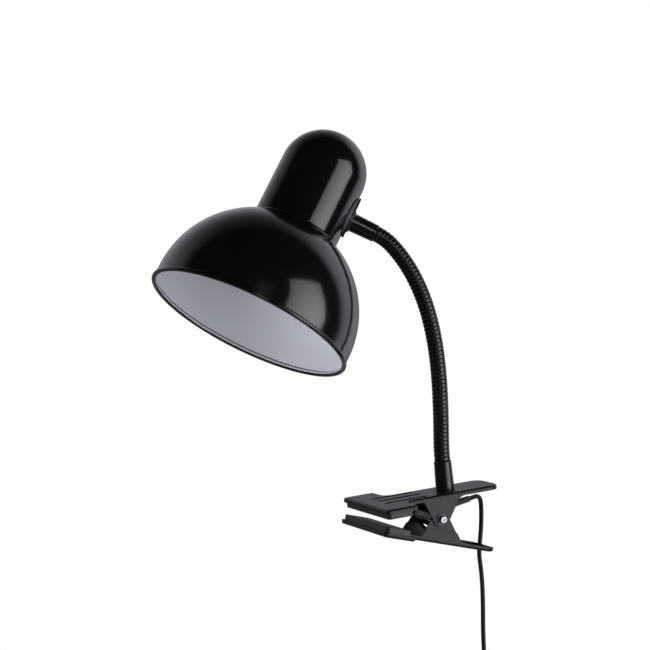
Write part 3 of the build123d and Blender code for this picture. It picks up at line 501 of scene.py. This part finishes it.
class LAMP_OT_stage(Operator):
    """Camera, floor, soft lights and white surroundings."""

    bl_idname = "reading_lamp.stage"
    bl_label = "Set the stage"

    def execute(self, context):
        stage = context.scene.lamp_stage
        self.camera(context)
        self.light(context, "window", place=(1.189, -1.488, 0.138), turns=(22.87, -15.99, -17.54),
                   sides=(1.65, 2.50), power=stage.window)
        fill = self.light(context, "fill", place=(-1.122, 0.116, 0.104), turns=(-95.0, -5.0, 0.0),
                          sides=(0.9, 0.6), power=stage.fill)
        fill.visible_glossy = False
        glint = self.light(context, "glint", place=(-0.239, -1.071, 0.623), turns=(-12.5, 20.0, -33.7),
                           sides=(0.30, 0.20), power=stage.glint)
        glint.visible_diffuse = False
        self.surroundings(context, stage)
        self.ground(stage)
        return {"FINISHED"}

    def camera(self, context):
        """Camera of the photograph, with plain colours in the picture."""
        lens = bpy.data.cameras.new("camera")
        lens.sensor_width = 36.0
        lens.lens = 90.605
        lens.clip_start = 0.01
        camera = bpy.data.objects.new("camera", lens)
        turn = np.column_stack([CAMERA_RIGHT, CAMERA_UP, CAMERA_BACK])
        camera.matrix_world = Matrix.Translation(CAMERA_EYE) @ Matrix(turn).to_4x4()
        context.scene.collection.objects.link(camera)
        context.scene.camera = camera
        context.scene.view_settings.view_transform = "Standard"

    def light(self, context, name, place, turns, sides, power):
        """Rectangular soft light, turned by an azimuth, an elevation and a roll in degrees.

        It is brightest beside its middle and fades from there, evenly with the distance, to its edge's strength.
        """
        around, above, roll = np.radians(turns)
        behind = np.array([np.sin(around) * np.cos(above), -np.cos(around) * np.cos(above), np.sin(above)])
        level = np.array([np.cos(around), np.sin(around), 0.0])
        upward = np.cross(behind, level)
        across = np.cos(roll) * level + np.sin(roll) * upward
        panel = bpy.data.lights.new(name, "AREA")
        panel.shape = "RECTANGLE"
        panel.size, panel.size_y = sides
        panel.energy = power
        panel.color = (0.95, 0.95, 1.0)
        glow = Nodes(panel)
        brightest = np.array([0.6, 0.3, 0.0])  # as shares of the two sides
        fade = np.array([1.3, 1.3, 1.0])
        edge = 0.45
        spot = glow.node("ShaderNodeNewGeometry", {}, {}, "Parametric")
        spot = glow.node("ShaderNodeMapping", {}, {"Vector": spot, "Location": -fade * brightest, "Scale": fade})
        peak = glow.node("ShaderNodeTexGradient", {"gradient_type": "SPHERICAL"}, {"Vector": spot}, "Fac")
        shine = glow.node("ShaderNodeEmission", {}, {"Strength": edge + peak})
        glow.node("ShaderNodeOutputLight", {}, {"Surface": shine})
        lamp = bpy.data.objects.new(name, panel)
        turn = np.column_stack([across, np.cross(behind, across), behind])
        lamp.matrix_world = Matrix.Translation(place) @ Matrix(turn).to_4x4()
        lamp.visible_camera = False
        context.scene.collection.objects.link(lamp)
        return lamp

    def surroundings(self, context, stage):
        """White to the eye; gloss shows a pale wall behind the lamp and a dark room before it.

        The wall is brightest on the right, and dark high up and low on the left. Each change is a smooth step of
        the cosine between the ray and one direction.
        """
        world = bpy.data.worlds.new("surroundings")
        context.scene.world = world
        world.cycles.sampling_method = "NONE"
        sky = Nodes(world)
        way = sky.node("ShaderNodeTexCoord", {}, {}, "Generated")

        def along(direction):
            return sky.node("ShaderNodeVectorMath", {"operation": "DOT_PRODUCT"}, {0: way, 1: tuple(direction)},
                            "Value")

        def step(value, first, last, low=0.0, high=1.0):
            return sky.node("ShaderNodeMapRange", {"interpolation_type": "SMOOTHSTEP"},
                            {"Value": value, "From Min": first, "From Max": last, "To Min": low, "To Max": high})

        wall_middle = -CAMERA_BACK - 0.1 * CAMERA_RIGHT
        low_left = 0.25 * stage.behind
        height = along(Z_AXIS)
        wall = step(along(wall_middle), first=0.15, last=0.40)
        wall *= step(height, first=0.35, last=0.95, low=1.0, high=0.1)
        left = step(height, first=-0.05, last=0.25, low=low_left, high=stage.behind)
        rightward = step(along(CAMERA_RIGHT), first=0.10, last=0.85)
        mirrored = wall * (left + rightward * (stage.beside - left)) + stage.before
        eye, gloss, glass = (sky.node("ShaderNodeLightPath", {}, {}, f"Is {ray} Ray")
                             for ray in ("Camera", "Glossy", "Transmission"))
        strength = stage.ambient + eye * (1.0 - stage.ambient) + (gloss + glass) * (mirrored - stage.ambient)
        cool = (0.92, 0.91, 1.0, 1.0)
        tint = sky.node("ShaderNodeMix", {"data_type": "RGBA"}, {0: eye, 6: cool, 7: WHITE}, 2)
        light = sky.node("ShaderNodeBackground", {}, {"Color": tint, "Strength": strength})
        sky.node("ShaderNodeOutputWorld", {}, {"Surface": light})

    def ground(self, stage):
        """Pale round floor that still takes a shadow: a thin disc, turned from the corners of its section."""
        paint = Finish("floor")
        eye = paint.node("ShaderNodeLightPath", {}, {}, "Is Camera Ray")
        dull = paint.node("ShaderNodeBsdfDiffuse", {}, {"Color": (*stage.floor_paint, 1.0)})
        glow = paint.node("ShaderNodeEmission", {}, {"Color": WHITE, "Strength": eye * 0.75})
        both = paint.node("ShaderNodeAddShader", {}, {0: dull, 1: glow})
        paint.node("ShaderNodeOutputMaterial", {}, {"Surface": both})
        edge, thickness = stage.floor_radius, 0.002
        section = np.array([[0.0, 0.0], [edge, 0.0], [edge, thickness], [edge / 2, thickness], [0.0, thickness]])
        place = np.array([0.0, 0.0, stage.floor - thickness])
        skin("floor", turned(section, place, Z_AXIS, X_AXIS, steps=96), [paint.material])


class LAMP_OT_cord(Operator):
    """Supply cord from the outlet to the switch, and on in a tied coil to the plug."""

    bl_idname = "reading_lamp.cord"
    bl_label = "Run the cord"

    def execute(self, context):
        cord = context.scene.lamp_cord
        neck = context.scene.lamp_neck
        vinyl = sheath("cord_vinyl", cord.sheath)
        base = np.array([neck.foot_x, 0.0, neck.foot_z])
        # Out of the outlet's spout, over the bend behind the handle, and down to the switch.
        route = base + np.array([
            (0.0246, 0.0110, -0.0123),
            (0.0294, 0.0131, -0.0122),
            (0.0346, 0.0155, -0.0122),
            (0.0381, 0.0178, -0.0152),
            (0.0392, 0.0195, -0.0206),
            (0.0391, 0.0204, -0.0285),
            (0.0379, 0.0206, -0.0385),
            (0.0356, 0.0205, -0.0495),
            (0.0340, 0.0204, -0.0575),
            (0.0347, 0.0206, -0.0680),
            (0.0346, 0.0205, -0.0820),
            (0.0332, 0.0205, -0.1000),
            (0.0314, 0.0206, -0.1180),
            (0.0306, 0.0205, -0.1340),
        ])
        free = flex("cord_free", route, cord.diameter, vinyl)
        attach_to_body(free, "clip_base")
        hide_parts("supply_cord")

        start = np.array([route[-1][0], route[-1][1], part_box("switch_base")[0][2]])
        points = self.coil(cord, start)
        wound = flex("cord_wound", points, cord.diameter, vinyl)
        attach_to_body(wound, "clip_base")
        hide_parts("cord_coil")
        return {"FINISHED"}

    def coil(self, cord, start):
        """Control points of the coil: flat spirals in and out by turns, each laid beside the last.

        Over each half turn the radius changes by half a pitch. Where the spiral turns back it keeps its radius
        for half a turn and climbs to the next layer. The spline runs inside its control points by the cosine of
        half their step, so they stand that much further out.
        """
        halves = (5, 5, 4, 3)  # half turns in each layer
        radii, layers = [cord.radius], [0.0]
        for layer, count in enumerate(halves):
            inward = -1 if layer % 2 == 0 else 1
            radii += [radii[-1] + inward * half * cord.pitch / 2 for half in range(1, count + 1)]
            layers += [layer * cord.pitch] * count
            if layer < len(halves) - 1:
                radii.append(radii[-1])
                layers.append((layer + 1) * cord.pitch)
        nodes = np.arange(len(radii))
        half = np.linspace(0.0, nodes[-1], nodes[-1] * cord.steps // 2 + 1)
        reach = np.interp(half, nodes, radii) / np.cos(np.pi / cord.steps)
        middle = start - np.array([cord.radius, 0.0, cord.entry])
        beside = np.interp(half, nodes, layers)
        turns = np.stack([reach * np.cos(np.pi * half), beside, -reach * np.sin(np.pi * half)], 1)
        turns += middle
        drop = np.array([[0.0, 0.0, share] for share in (0.0, 0.4, 0.8)]) * cord.entry
        lead = start - drop
        end = middle + np.array([radii[-1], layers[-1], 0.0])
        tail = end - np.array([0.0, 0.0, cord.entry]) + drop[::-1]
        return np.concatenate([lead, turns, tail])


class LAMP_OT_bowl(Operator):
    """Spun bowl of the shade with its rolled rim, gloss outside and white inside."""

    bl_idname = "reading_lamp.bowl"
    bl_label = "Spin the bowl"

    def execute(self, context):
        shade = context.scene.lamp_shade
        rim, upward, outward, _ = head_axes(context.scene.lamp_neck, shade)
        section, white = self.section(shade)
        enamels = [gloss_enamel("bowl_enamel", shade.paint, roughness=0.13),
                   white_enamel("bowl_white", shade.inside)]
        bowl = skin("bowl_spun", turned(section, rim, upward, outward, steps=144), enamels, closed=True,
                    row_finish=white)
        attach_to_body(bowl, "head")
        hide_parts("shade_bowl")
        return {"FINISHED"}

    def section(self, shade):
        """Closed section of the wall, as radii and heights above the mouth, and which of its rows are white.

        Outside and inside are arcs of two circles a wall apart, cut off by a flat top that ends at the holder's
        hole. The rim is most of a circle of the bead's radius, black as far as it shows from outside. The faces
        from the rim's tucked end into the crease are black too: painted shade, a dark line where the rim meets the
        wall.
        """
        outer = shade.rim - shade.bead + shade.wall / 2
        inner = outer - shade.wall
        flat = shade.cap - shade.cap_wall - shade.flat_margin
        top_swing = np.arccos(flat / outer)
        flat_top = shade.lift + outer * np.sin(top_swing)
        under = flat_top - shade.wall
        under_swing = np.arcsin((under - shade.lift) / inner)
        bowl_centre = (0.0, shade.lift)
        bead_centre = (outer - shade.wall / 2, shade.bead)
        lip = np.arccos(shade.wall / 2 / shade.bead)
        black_end = lip - np.radians(250.0)
        white_start = lip - np.radians(262.0)
        outside = np.concatenate([
            arc(bowl_centre, outer, top_swing, 0.0, steps=60),
            arc(bead_centre, shade.bead, lip, black_end, steps=22),
        ])
        roll = arc(bead_centre, shade.bead, white_start, -np.pi - lip, steps=10)
        crease = np.array([[inner, 2 * shade.bead + shade.crease]])
        inside = np.concatenate([
            arc(bowl_centre, inner, 0.0, under_swing, steps=60),
            np.array([[shade.hole, under], [shade.hole, flat_top]]),
        ])
        section = np.concatenate([outside, roll, crease, inside])
        row = np.arange(len(section))
        # The faces from the rim's tucked end into the crease stay black: a painted shade line in the crease.
        crease_shade_row = len(outside) + len(roll) - 1
        white = (row >= len(outside) - 1) & (row != crease_shade_row) & (row < len(section) - 2)
        return section, white


class LAMP_OT_cap(Operator):
    """Domed cap above the bowl."""

    bl_idname = "reading_lamp.cap"
    bl_label = "Spin the cap"

    def execute(self, context):
        shade = context.scene.lamp_shade
        rim, upward, outward, _ = head_axes(context.scene.lamp_neck, shade)
        cap = skin("cap_spun", turned(self.section(shade), rim, upward, outward, steps=128),
                   [gloss_enamel("cap_enamel", shade.paint, roughness=0.11)])
        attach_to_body(cap, "head")
        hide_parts("neck_cap")
        return {"FINISHED"}

    def section(self, shade):
        """Section of the wall, down inside from the dome's top and up again outside.

        Both domes are quarter circles. The hollow at the foot is an arc that touches the cap's side and the bowl,
        so its centre lies the flare's radius away from both.
        """
        bowl = shade.rim - shade.bead + shade.wall / 2
        inner = shade.cap - shade.cap_wall
        foot = shade.lift + np.sqrt(bowl**2 - shade.cap**2)
        hollow = shade.cap + shade.flare
        middle = shade.lift + np.sqrt((bowl + shade.flare) ** 2 - hollow**2)
        meeting = np.pi + np.arctan2(middle - shade.lift, hollow)
        dome_centre = (0.0, shade.dome)
        return np.concatenate([
            arc(dome_centre, inner, np.pi / 2, 0.0, steps=24),
            np.array([[inner, foot + shade.cap_wall]]),
            arc((hollow, middle), shade.flare, meeting, np.pi, steps=16),
            arc(dome_centre, shade.cap, 0.0, np.pi / 2, steps=40),
        ])


class LAMP_OT_gasket(Operator):
    """Saddle gasket between the cap and the backing disc, in a pale tone that paints the cap's reflected glow."""

    bl_idname = "reading_lamp.gasket"
    bl_label = "Seat the gasket"

    def execute(self, context):
        shade = context.scene.lamp_shade
        # The gasket's pale blue-grey tone, far lighter than the other rubber, is painted reflection: the glossy
        # cap's grey glow carried up to the disc.
        gasket = skin("gasket_saddle", self.saddle(context.scene.lamp_neck, shade),
                      [rubber("gasket_rubber_painted_glow", tone=(0.110, 0.107, 0.120))], closed=True)
        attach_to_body(gasket, "head")
        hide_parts("saddle_gasket")
        return {"FINISHED"}

    def saddle(self, neck, shade):
        """Rings from the round hole to the oval edge, on the cap's cylinder, and back again under the flat disc.

        A ring's points are a mix of the circle and the ellipse; the cylinder's height over the axis is the root of
        its radius squared less the sideways distance squared. A little play keeps both faces free.
        """
        rim, upward, outward, sideways = head_axes(neck, shade)
        steps, ring_count, play = 96, 9, 0.00005
        swing = np.arange(steps) * 2 * np.pi / steps
        hole = shade.gasket_hole * np.stack([np.cos(swing), np.sin(swing)], 1)
        edge_up = shade.disc_rise + shade.gasket_reach * np.cos(swing)
        edge = np.stack([edge_up, shade.gasket_half * np.sin(swing)], 1)
        share = np.linspace(0.0, 1.0, ring_count)[:, None, None]
        rings = hole + share * (edge - hole)
        under = np.sqrt((shade.cap + play) ** 2 - rings[..., 1] ** 2)
        over = np.full_like(under, shade.disc_face - shade.disc - play)
        rings = np.concatenate([rings, rings[::-1]])
        height = np.concatenate([under, over])
        middle = rim + upward * shade.attach
        return middle + rings[..., :1] * upward + rings[..., 1:] * sideways + height[..., None] * outward


class LAMP_OT_gooseneck(Operator):
    """Ribbed tube of the gooseneck, in lengths that each run across one joint."""

    bl_idname = "reading_lamp.gooseneck"
    bl_label = "Wind the gooseneck"

    def execute(self, context):
        neck = context.scene.lamp_neck
        finish = gloss_enamel("neck_enamel", neck.paint, roughness=0.22, shine=0.36)
        _, _, side = arm_axes(neck)
        length = neck.ribs * neck.pitch
        past = 2 * neck.pitch  # each piece ends two ribs past its joint
        total = NECK_LENGTHS * length
        for joint in range(1, NECK_LENGTHS):
            start = (joint - 1) * length + past
            end = joint * length + past
            first = 0.0 if joint == 1 else start
            last = total if joint == NECK_LENGTHS - 1 else end
            travel, radii = self.ribs(neck, first, last)
            line, ahead = arm_line(neck, travel)
            points = tube(line, ahead, np.broadcast_to(side, line.shape), radii, steps=44)
            piece = skin(f"neck_ribs_{joint:02d}", points, [finish])
            (before, after), _ = arm_line(neck, [start, end])
            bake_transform(piece)
            nodes = [f"neck_segment_{joint:02d}"]
            if joint == NECK_LENGTHS - 1:
                nodes.append(f"neck_segment_{NECK_LENGTHS:02d}")
            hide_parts(*nodes)
        return {"FINISHED"}

    def ribs(self, neck, first, last):
        """Distances along the neck, crowded towards each groove, and the radius of the rounded rib there.

        A rib's radius is the root plus its height times (1 - |x|^p)^(1/p), x going from -1 to 1 across it and p
        being its fullness.
        """
        steps, fullness = 10, 2.6
        count = round((last - first) / neck.pitch)
        share = (1.0 - np.cos(np.pi * np.arange(steps) / steps)) / 2
        across = np.append((np.arange(count)[:, None] + share).ravel(), count)
        x = 2.0 * (across % 1.0) - 1.0
        rise = (1.0 - np.abs(x) ** fullness) ** (1 / fullness)
        return first + across * neck.pitch, neck.root + (neck.crest - neck.root) * rise


class LAMP_OT_spring(Operator):
    """Torsion spring round the pivot, wound up by the handles."""

    bl_idname = "reading_lamp.spring"
    bl_label = "Wind the spring"

    def execute(self, context):
        clip = context.scene.lamp_clip
        line, ahead, far = self.wire(clip)
        side = Y_AXIS - ahead * ahead[:, 1:2]
        side /= np.linalg.norm(side, axis=1, keepdims=True)
        points = tube(line, ahead, side, np.full(len(line), clip.wire / 2), steps=20)
        spring = skin("spring_wound", points, [metal("spring_wire", tone=(0.92, 0.92, 0.92), roughness=0.12)])
        pivot = np.array([clip.pivot_x, 0.0, clip.pivot_z])
        pivot - far * Y_AXIS
        pivot + far * Y_AXIS
        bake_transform(spring)
        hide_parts("torsion_spring")
        return {"FINISHED"}

    def wire(self, clip):
        """Points and directions of the wire's middle line, and how far the coil reaches to each side.

        It is a helix round the pivot, whose angle falls as it comes forward, with a straight leg that leaves it
        along its tangent at each end.
        """
        turn_steps, leg_steps = 40, 8
        start = -np.pi / 2 - clip.low_slope
        turning = 2 * np.pi * clip.turns - np.pi - clip.low_slope - clip.high_slope
        rise = (clip.wire + clip.gap) / (2 * np.pi)
        far = rise * turning / 2
        swept = np.linspace(0.0, turning, turn_steps * clip.turns)
        swing = start - swept
        pivot = np.array([clip.pivot_x, 0.0, clip.pivot_z])
        helix = pivot + np.stack([clip.radius * np.cos(swing), far - rise * swept, clip.radius * np.sin(swing)], 1)
        ahead = np.stack([np.sin(swing), np.full(len(swing), -rise / clip.radius), -np.cos(swing)], 1)
        ahead[[0, -1], 1] = 0.0
        ahead /= np.linalg.norm(ahead, axis=1, keepdims=True)
        run = np.linspace(clip.leg, 0.0, leg_steps)[:-1, None]
        line = np.concatenate([helix[0] - run * ahead[0], helix, helix[-1] + run[::-1] * ahead[-1]])
        way = np.concatenate([np.repeat(ahead[:1], len(run), 0), ahead, np.repeat(ahead[-1:], len(run), 0)])
        return line, way, far


class LAMP_OT_clip(Operator):
    """Finishes of the clip's plates, pads and pivot."""

    bl_idname = "reading_lamp.clip"
    bl_label = "Finish the clip"

    def execute(self, context):
        clip = context.scene.lamp_clip
        plates = satin_enamel("plate_enamel", clip.paint, roughness=0.34)
        pads = rubber("jaw_rubber", clip.pads)
        zinc = metal("pivot_zinc", tone=(0.34, 0.34, 0.35), roughness=0.32, stretch=(1.0, 0.1, 1.0))
        steel = metal("washer_steel", tone=(0.035, 0.035, 0.037), roughness=0.34)
        dress(plates, "upper_clip_plate", "lower_clip_plate")
        dress(pads, "upper_jaw_pad", "lower_jaw_pad")
        dress(zinc, "pivot_screw", "pivot_nut")
        dress(steel, "pivot_washers")
        return {"FINISHED"}


class LAMP_OT_fittings(Operator):
    """Finishes of the ferrules, the head's fittings and the lampholder."""

    bl_idname = "reading_lamp.fittings"
    bl_label = "Finish the fittings"

    def execute(self, context):
        neck = context.scene.lamp_neck
        enamel = gloss_enamel("ferrule_enamel", neck.paint, roughness=0.22, shine=0.38)
        steel = metal("plated_steel", tone=(0.62, 0.61, 0.58), roughness=0.30, stretch=(1.0, 1.0, 0.2))
        black = moulding("holder_moulding", tone=(0.022, 0.022, 0.024), roughness=0.36)
        pale = moulding("contact_moulding", tone=(0.62, 0.60, 0.55), roughness=0.45)
        brass = metal("shell_brass", tone=(0.66, 0.50, 0.24), roughness=0.28, stretch=(1.0, 1.0, 0.3))
        dress(enamel, "base_ferrule", "head_ferrule", "backing_disc")
        dress(steel, "base_washer", "base_nut", "head_nut", "holder_nut", "holder_strip", "terminal_screws")
        dress(black, "lampholder_body", "shade_ring")
        dress(pale, "contact_base")
        dress(brass, "screw_shell", "centre_contact")
        return {"FINISHED"}


class LAMP_OT_supply(Operator):
    """Finishes of the outlet, the in-line switch, the tie and the plug."""

    bl_idname = "reading_lamp.supply"
    bl_label = "Finish the supply"

    def execute(self, context):
        cord = context.scene.lamp_cord
        outlet = rubber("outlet_rubber", tone=(0.016, 0.016, 0.017))
        switch = moulding("switch_moulding", tone=(0.016, 0.016, 0.018), roughness=0.38)
        rocker = moulding("rocker_moulding", tone=(0.028, 0.028, 0.030), roughness=0.30)
        zinc = metal("screw_zinc", tone=(0.62, 0.62, 0.64), roughness=0.28)
        nylon = moulding("tie_nylon", tone=(0.030, 0.030, 0.032), roughness=0.5)
        plug = moulding("plug_moulding", cord.sheath, roughness=0.36)
        nickel = metal("pin_nickel", tone=(0.66, 0.64, 0.60), roughness=0.22, stretch=(1.0, 1.0, 0.15))
        dress(outlet, "cord_outlet")
        dress(switch, "switch_base", "switch_cover")
        dress(rocker, "switch_rocker")
        dress(zinc, "switch_screws")
        dress(nylon, "cord_tie")
        dress(plug, "plug_body")
        dress(nickel, "plug_pins")
        return {"FINISHED"}


STEPS = (LAMP_OT_stage, LAMP_OT_cord, LAMP_OT_bowl, LAMP_OT_cap, LAMP_OT_gasket, LAMP_OT_gooseneck, LAMP_OT_spring,
         LAMP_OT_clip, LAMP_OT_fittings, LAMP_OT_supply)
SETTINGS = {
    "lamp_neck": NeckSettings,
    "lamp_shade": ShadeSettings,
    "lamp_clip": ClipSettings,
    "lamp_cord": CordSettings,
    "lamp_stage": StageSettings,
}


class LAMP_PT_panel(Panel):
    """Lists the lamp's steps and their settings."""

    bl_idname = "LAMP_PT_panel"
    bl_label = "Reading Lamp"
    bl_space_type = "VIEW_3D"
    bl_region_type = "UI"
    bl_category = "Reading Lamp"

    def draw(self, context):
        for step in STEPS:
            self.layout.operator(step.bl_idname)
        for name, settings in SETTINGS.items():
            box = self.layout.box()
            for setting in settings.__annotations__:
                box.prop(getattr(context.scene, name), setting)


def register():
    """Adds the settings, the operators and the panel."""
    for name, settings in SETTINGS.items():
        bpy.utils.register_class(settings)
        setattr(bpy.types.Scene, name, PointerProperty(type=settings))
    for step in (*STEPS, LAMP_PT_panel):
        bpy.utils.register_class(step)


def unregister():
    """Takes them out again, last first."""
    for step in (LAMP_PT_panel, *reversed(STEPS)):
        bpy.utils.unregister_class(step)
    for name, settings in reversed(SETTINGS.items()):
        delattr(bpy.types.Scene, name)
        bpy.utils.unregister_class(settings)


def main():
    """Builds the lamp."""
    register()
    bpy.ops.reading_lamp.stage()
    bpy.ops.reading_lamp.cord()
    bpy.ops.reading_lamp.bowl()
    bpy.ops.reading_lamp.cap()
    bpy.ops.reading_lamp.gasket()
    bpy.ops.reading_lamp.gooseneck()
    bpy.ops.reading_lamp.spring()
    bpy.ops.reading_lamp.clip()
    bpy.ops.reading_lamp.fittings()
    bpy.ops.reading_lamp.supply()


if __name__ == "__main__":
    main()
